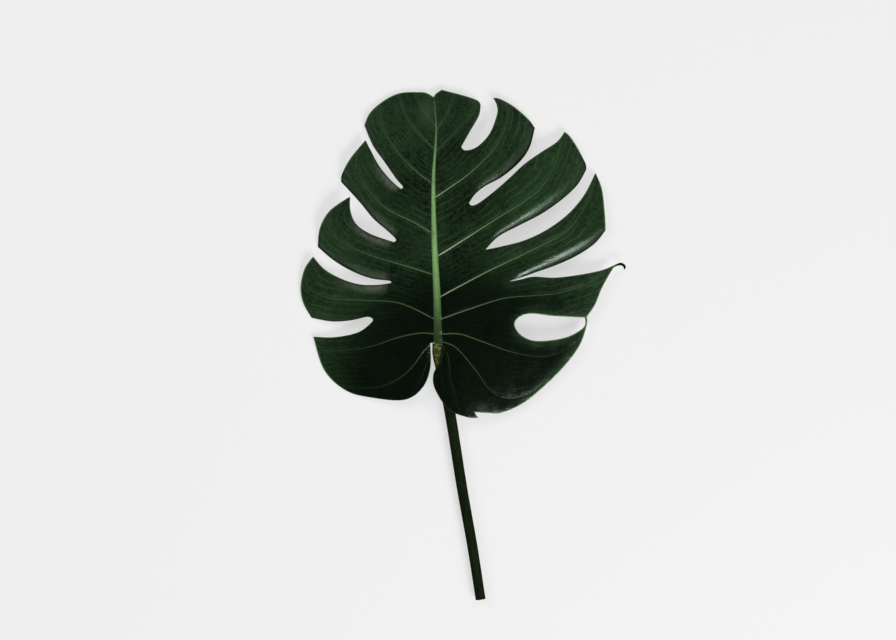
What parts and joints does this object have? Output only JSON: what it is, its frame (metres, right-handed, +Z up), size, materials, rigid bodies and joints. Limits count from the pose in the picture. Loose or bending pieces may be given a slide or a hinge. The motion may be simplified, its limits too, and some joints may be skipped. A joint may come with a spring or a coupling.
{
  "type": "monstera leaf",
  "caption": "Broad heart-shaped split leaf with deep slits between its lobes, lying face up on a long round stalk.",
  "frame": {"origin": "middle of the leaf's box, on the surface it lies on", "axes": "+Y from the stalk's cut end towards the leaf's tip, +X to the right of the face-up blade, +Z up"},
  "size_m": [0.3592, 0.564, 0.0248],
  "materials": {
    "leaf": "waxy dark green leaf with pale veins",
    "stalk": "smooth waxy dark green stalk"
  },
  "bodies": {
    "root": {"leaf_blade": "leaf", "petiole": "stalk"}
  },
  "joints": []
}
